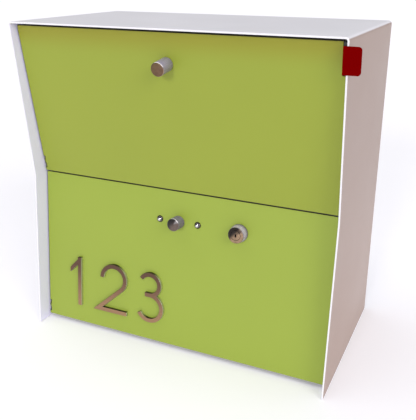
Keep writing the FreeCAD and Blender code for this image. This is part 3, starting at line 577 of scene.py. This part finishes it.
def finished(made):
    """Closes a worked mesh, faces it outwards and shades it by its corners."""
    shape = bmesh.new()
    shape.from_mesh(made.data)
    bmesh.ops.remove_doubles(shape, verts=shape.verts, dist=WELD)
    bmesh.ops.recalc_face_normals(shape, faces=shape.faces)
    shape.to_mesh(made.data)
    shape.free()
    made.data.shade_smooth()
    made.data.set_sharp_from_angle(angle=SMOOTH_ANGLE)
    return made


def turned(name, profile, coat, around=PLAIN_AROUND, knurl=None):
    """A turned piece standing on the origin, from (radius, height) points in millimetres;
    knurl holds the turning tree's sizes for a knurled band."""
    wire = bmesh.new()
    points = [wire.verts.new((r * MM, 0, h * MM)) for r, h in profile]
    for pair in zip(points, points[1:]):
        wire.edges.new(pair)
    made = plain_object(name, wire)
    sizes = {"Around": around, "Finish": coat, **(knurl or SMOOTH)}
    return finished(TURNING.run(made, sizes))


def carried(made, foot, facing):
    """Moves a piece's mesh so that it stands on foot and points along facing."""
    turn = facing.to_track_quat("Z", "X").to_matrix().to_4x4()
    made.data.transform(Matrix.Translation(foot) @ turn)
    return made


def set_out(name, piece, places, coat):
    """One mesh of a piece repeated at (point, facing) places; the pattern piece is used up."""
    points = bmesh.new()
    for place, _ in places:
        points.verts.new(place)
    made = plain_object(name, points)
    facing = made.data.attributes.new("facing", "FLOAT_VECTOR", "POINT")
    for i, (_, way) in enumerate(places):
        facing.data[i].vector = way
    SET_OUT.run(made, {"Piece": piece, "Finish": coat})
    bpy.data.objects.remove(piece)
    return finished(made)


# ---- where things are on the frame ----

def seat(node, lean, side=None):
    """Foot of a turned part on a leaning door: the middle of its outline, at its inner end."""
    turn = Matrix.Rotation(lean, 3, "X")
    back = turn.inverted()
    points = [back @ v.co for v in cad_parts[node].data.vertices]
    if side:
        points = [p for p in points if p.x * side > 0]
    middle = [(min(p[i] for p in points) + max(p[i] for p in points)) / 2 for i in (0, 2)]
    return turn @ Vector((middle[0], max(p.y for p in points), middle[1]))


def pivot(node):
    """Height of a door's pivots."""
    low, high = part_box(node)
    return (low.z + high.z) / 2


# ---- camera, light and floor ----

CAMERA_PLACE = Vector((0.33571, -0.82016, 0.26154))
CAMERA_ROUND = math.radians(24.21)  # to the right of straight ahead
CAMERA_UP = math.radians(20.0)  # above level
CAMERA_ROLL = math.radians(0.26)
SENSOR = 36.0
LENS = 53.92
SHIFT = (-0.02375, -0.03252)
HORIZON = (0.66, 0.64, 0.64, 1)
OVERHEAD = (0.80, 0.81, 0.84, 1)
DIM_SIDE = 0.45  # strength of the surroundings at the left; they are twice as strong at the right
FLOOR_TONES = (0.885, 0.876, 0.912, 1), (0.915, 0.906, 0.942, 1)
FLOOR_GLOW = 0.17
FLOOR_ROUND = 60.0
FLOOR_GAP = 0.5 * MM


def camera():
    data = bpy.data.cameras.new("camera")
    data.sensor_fit = "HORIZONTAL"
    data.sensor_width = SENSOR
    data.lens = LENS
    data.shift_x, data.shift_y = SHIFT
    data.clip_start = 0.01
    data.clip_end = 60.0
    made = bpy.data.objects.new("camera", data)
    level = math.cos(CAMERA_UP)
    east, north = math.sin(CAMERA_ROUND) * level, -math.cos(CAMERA_ROUND) * level
    back = Vector((east, north, math.sin(CAMERA_UP)))
    made.rotation_mode = "QUATERNION"
    roll = Euler((0, 0, CAMERA_ROLL)).to_quaternion()
    made.rotation_quaternion = (-back).to_track_quat("-Z", "Y") @ roll
    made.location = CAMERA_PLACE
    bpy.context.scene.collection.objects.link(made)
    bpy.context.scene.camera = made


def lamp(name, place, spread, power, colour):
    """Soft light that comes evenly from the side where place is; spread is in degrees."""
    data = bpy.data.lights.new(name, "SUN")
    data.angle = math.radians(spread)
    data.energy = power
    data.color = colour
    made = bpy.data.objects.new(name, data)
    made.location = place
    made.rotation_mode = "QUATERNION"
    made.rotation_quaternion = (-Vector(place)).to_track_quat("-Z", "Y")
    bpy.context.scene.collection.objects.link(made)


def room():
    """Even pale surroundings, a little darker near the horizon and brightest at the right."""
    world = bpy.data.worlds.new("room")
    world.use_nodes = True
    bench = Bench(world.node_tree)
    bench.tree.nodes.clear()
    way = bench.node("ShaderNodeTexCoord", {}, {}, "Generated")
    x, _, z = bench.parts(way)
    sockets = {0: z.step(-0.05, 0.55), 6: HORIZON, 7: OVERHEAD}
    tone = bench.node("ShaderNodeMix", {"data_type": "RGBA"}, sockets, 2)
    strength = DIM_SIDE * (1 + x.step(0.0, 0.8))
    light = bench.node("ShaderNodeBackground", {}, {"Color": tone, "Strength": strength})
    bench.node("ShaderNodeOutputWorld", {}, {"Surface": light})
    bpy.context.scene.world = world


def floor():
    """Plain pale floor under the box."""
    shape = bmesh.new()
    bmesh.ops.create_circle(shape, cap_ends=True, segments=64, radius=FLOOR_ROUND)
    made = plain_object("floor", shape)
    made.data.transform(Matrix.Translation((0, 0, CAD_BOX[0].z - FLOOR_GAP)))
    glow = {"Emission Color": (1, 1, 1, 1), "Emission Strength": FLOOR_GLOW}
    coat = Coat("pale_floor", {"Roughness": 0.9, "Specular IOR Level": 0.1, **glow})
    drift = coat.noise(coat.place(), 3.0, 2.0)
    made.data.materials.append(coat.vary({
        "Base Color": coat.blend(drift, *FLOOR_TONES),
    }))


# ---- finishes used below ----

SEAM_SHADE = (0.05, 0.034, 0.008)  # painted shade on the doors' level edges, which face the dark gaps between the doors and under the hood
# Painted shade: the tone of the right wall's outer face, standing in for the shade on that side
SIDE_SHADE_TONE = (0.345, 0.246, 0.203)
WHITE = powder_coat("white_powder", (0.80, 0.79, 0.83), 0.38, side=SIDE_SHADE_TONE)
# The two doors take copies of one lime coat; the lower door's copy is lighter and greener, painted
# light for a door that faces a little upwards. Both have painted shade on their level edges, and the
# upper one under the hood.
UPPER_GREEN = powder_coat("lime_powder", (0.278, 0.330, 0.034), 0.42, hood_shade=UPPER_TOP, rim=SEAM_SHADE)
LOWER_GREEN = powder_coat("lime_powder_lower", (0.290, 0.370, 0.045), 0.42, rim=SEAM_SHADE)
# Dark coat of the rail, header and hopper tray; the rail and header are dark in part as painted
# shade, so the gaps between the doors and the frame read as deep shade.
DARK = powder_coat("dark_powder", (0.11, 0.11, 0.115), 0.45)
RED = powder_coat("red_powder", (0.158, 0.0002, 0.0004), 0.6, 0.03 * MM, sheen=0.0)
ZINC = zinc_plate()
RUBBER = moulded("black_rubber", (0.022, 0.022, 0.022), 0.75, 1500.0, 0.05 * MM)
BLACK = moulded("black_plastic", (0.018, 0.018, 0.019), 0.48, 2200.0, 0.03 * MM)
NYLON = moulded("black_nylon", (0.02, 0.02, 0.02), 0.42, 900.0, 0.02 * MM)
MAGNET = sintered()


# ---- the housing ----

def housing():
    softened("outer_shell", "shell", "housing", WHITE, "white_coat")
    softened("back_panel", "back", "housing", WHITE, "white_coat", INNER_EDGE)
    softened("floor_panel", "bottom", "housing", WHITE, "white_coat", INNER_EDGE)
    softened("centre_rail", "rail", "housing", DARK, "inner_coat", INNER_EDGE)
    softened("header", "top_rail", "housing", DARK, "inner_coat", INNER_EDGE)
    softened("flag_block", "flag_hinge_block", "housing", BLACK, "black_plastic", FINE_EDGE)
    coated(RUBBER, "rail_bumpers", "header_bumpers")
    coated(BLACK, "rail_catch_case", "header_catch_cases")
    coated(MAGNET, "rail_catch_magnet", "header_catch_magnets")
    coated(NYLON, "upper_pivot_spacers", "lower_pivot_spacers")
    coated(ZINC, "upper_pivot_studs", "lower_pivot_studs", "upper_pivot_clips", "lower_pivot_clips")
    coated(ZINC, "upper_stop_studs", "lower_stop_studs", "flag_pin")
    coated(ZINC, "side_studs", "header_studs", "side_nuts", "header_nuts")


# ---- the doors ----

def door_fittings():
    coated(ZINC, "tray_studs", "tray_nuts", "dome_nuts", "numeral_nuts", "lock_nut", "lock_cam")
    coated(ZINC, "cam_screw", "upper_knob_screw", "lower_knob_screw", "upper_knob_washer")
    softened("keeper_plate", "keeper", "lower_door", ZINC, "zinc_steel", FINE_EDGE)
    softened("hopper_tray", "tray", "upper_door", DARK, "inner_coat", FINE_EDGE)
    softened("tray_cheeks", "cheeks", "upper_door", DARK, "inner_coat", FINE_EDGE)


UPPER_OUT = Matrix.Rotation(UPPER_LEAN, 3, "X") @ OUT
LOWER_OUT = Matrix.Rotation(LOWER_LEAN, 3, "X") @ OUT
BORED_FOOT = [(0, 11), (2.55, 11), (2.55, 0), (7.5, 0)]  # inner end of a knob, with its screw's bore


def upper_door():
    softened("upper_panel", "upper_sheet", "upper_door", UPPER_GREEN, "green_coat", DOOR_EDGE,
             pivot("upper_pivot_studs"))
    foot = seat("upper_knob", UPPER_LEAN)
    side = (0.275, 0.236, 0.305)
    # Painted face tones of the upper knob (shade, warm reflection, highlight), then its bevel's
    # highlight and warm reflection.
    brown = [(0.16, 0.105, 0.060), (0.182, 0.112, 0.070), (0.17, 0.108, 0.066)]
    painted_bevel_tones = [(0.90, 0.88, 0.88), (0.40, 0.27, 0.20)]
    coat = turned_steel("turned_steel", foot, UPPER_LEAN, side, brown, painted_bevel_tones,
                        UPPER_KNOB_LONG * MM, KNOB_RADIUS * MM, 0.34)
    profile = BORED_FOOT + [(7.9, 0.25), (8, 0.7), (8, 21.15), (7.88, 21.45), (7.4, 21.88), (7.1, 22)]
    profile += [(6.9, 21.93), (4.5, 21.9), (2.0, 21.88), (0, 21.87)]
    made = carried(turned("pull_upper", profile, coat), foot, UPPER_OUT)
    fitted(made, "upper_door", "brushed_steel", "upper_knob")


def lower_door():
    softened("lower_panel", "lower_sheet", "lower_door", LOWER_GREEN, "green_coat", DOOR_EDGE,
             pivot("lower_pivot_studs"))
    foot = seat("lower_knob", LOWER_LEAN)
    side = (0.205, 0.17, 0.23)
    # Painted face tones of the lower knob (shade, warm reflection, highlight), then its bevel's
    # highlight and warm reflection.
    tones = [(0.05, 0.046, 0.045), (0.16, 0.122, 0.105), (0.36, 0.34, 0.34)]
    painted_bevel_tones = [(0.86, 0.84, 0.85), (0.16, 0.122, 0.105)]
    coat = turned_steel("knurled_steel", foot, LOWER_LEAN, side, tones, painted_bevel_tones,
                        LOWER_KNOB_RIM * MM, KNOB_RADIUS * MM, 0.32)
    profile = BORED_FOOT + [(7.9, 0.3)]
    profile += [(8, 0.8 + 0.22 * i) for i in range(65)]
    profile += [(7.75, 15.25), (7.3, 15.4), (6.8, 15.45), (3.4, 15.72), (0.6, 15.96), (0, 16)]
    knurl = {"Knurls": 44, "Knurl pitch": 1.1 * MM, "Knurl depth": 0.28 * MM,
             "Knurl from": 0.8 * MM, "Knurl to": 14.9 * MM}
    made = carried(turned("pull_lower", profile, coat, KNURLED_AROUND, knurl), foot, LOWER_OUT)
    fitted(made, "lower_door", "brushed_steel", "lower_knob")


def domes():
    """Two domed screws, one each side of the lower knob."""
    out = LOWER_OUT * DOME_SHANK * MM
    foot = seat("dome_screws", LOWER_LEAN) + out
    # Painted shade round the domes' edge and a painted highlight at their tips.
    chrome = polished("bright_chrome", foot, LOWER_LEAN, (0.06, 0.05, 0.055), (0.9, 0.88, 0.88),
                      DOME_TALL * MM, 0.10)
    ball = (DOME_RADIUS**2 + DOME_TALL**2) / (2 * DOME_TALL)
    tip = math.asin(DOME_RADIUS / ball)
    angles = [tip * i / DOME_STEPS for i in range(DOME_STEPS, 0, -1)]
    profile = [(0, -DOME_SHANK), (1.7, -DOME_SHANK), (2, -8.1), (2, 0), (DOME_RADIUS - 0.2, 0)]
    profile += [(ball * math.sin(a), DOME_TALL - ball + ball * math.cos(a)) for a in angles]
    piece = turned("dome", profile + [(0, DOME_TALL)], chrome, DOME_AROUND)
    places = [(seat("dome_screws", LOWER_LEAN, side) + out, LOWER_OUT) for side in (-1, 1)]
    made = set_out("dome_pair", piece, places, chrome)
    fitted(made, "lower_door", "bright_chrome", "dome_screws")


def lock():
    foot = seat("lock_barrel", LOWER_LEAN) + LOWER_OUT * LOCK_SHANK * MM
    side = (0.52, 0.435, 0.62)
    # Painted face tones of the lock (shade, warm reflection, highlight), then its bevel's tones; its
    # side has painted shade up to 8 mm above its foot.
    tones = [(0.04, 0.033, 0.03), (0.36, 0.245, 0.155), (0.12, 0.088, 0.068)]
    painted_bevel_tones = [(0.12, 0.11, 0.12), (0.12, 0.08, 0.065)]
    steel = turned_steel("lock_steel", foot, LOWER_LEAN, side, tones, painted_bevel_tones,
                         LOCK_FACE * MM, LOCK_FACE_RADIUS * MM, 0.22, 8 * MM, 6 * MM)
    taper = [i / TAPER_STEPS for i in range(1, TAPER_STEPS + 1)]
    profile = [(LOCK_BORE, -LOCK_SHANK), (9.5, -LOCK_SHANK), (9.5, 0), (10.7, 0), (11, 0.3)]
    profile += [(11, 2.7), (10.95, 3.1)]
    profile += [(10.95 - 1.05 * share, 3.1 + 8.2 * share) for share in taper]
    profile += [(9.75, 11.6), (9.35, 11.95), (9.0, 12.02), (8.0, 12.12), (7.0, 12.21)]
    profile += [(LOCK_BORE + 0.25, 12.28), (LOCK_BORE, 12.1), (LOCK_BORE, -LOCK_SHANK)]
    knurl = {"Knurls": 60, "Knurl pitch": 1.1 * MM, "Knurl depth": 0.25 * MM,
             "Knurl from": 3.3 * MM, "Knurl to": 11.2 * MM}
    made = carried(turned("lock_collar", profile, steel, LOCK_AROUND, knurl), foot, LOWER_OUT)
    fitted(made, "lower_door", "bright_chrome", "lock_barrel")
    softened("lock_plug", "key_plug", "lock_plug", steel, "bright_chrome", FINE_EDGE)


def numerals():
    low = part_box("numeral_first")[0]
    coat = brushed_numerals(Vector((0, low.y, low.z)))
    figures = {"numeral_first": "one", "numeral_second": "two", "numeral_third": "three"}
    for node, name in figures.items():
        softened(node, "figure_" + name, "lower_door", coat, "numeral_steel", INNER_EDGE)


def flag():
    softened("flag", "red_flag", "flag", RED, "red_coat", DOOR_EDGE)


# ---- put together ----

camera()
room()
floor()
lamp("above", (-0.62, -0.25, 2.3), spread=55, power=0.96, colour=(1.0, 0.99, 0.99))
lamp("front", (0.0, -1.0, 0.33), spread=12, power=1.15, colour=(1.0, 0.99, 1.0))
lamp("right", (1.9, -1.3, 1.1), spread=30, power=0.95, colour=(1.0, 0.98, 1.0))
bpy.context.scene.view_settings.view_transform = "Standard"

housing()
door_fittings()
upper_door()
lower_door()
domes()
lock()
numerals()
flag()
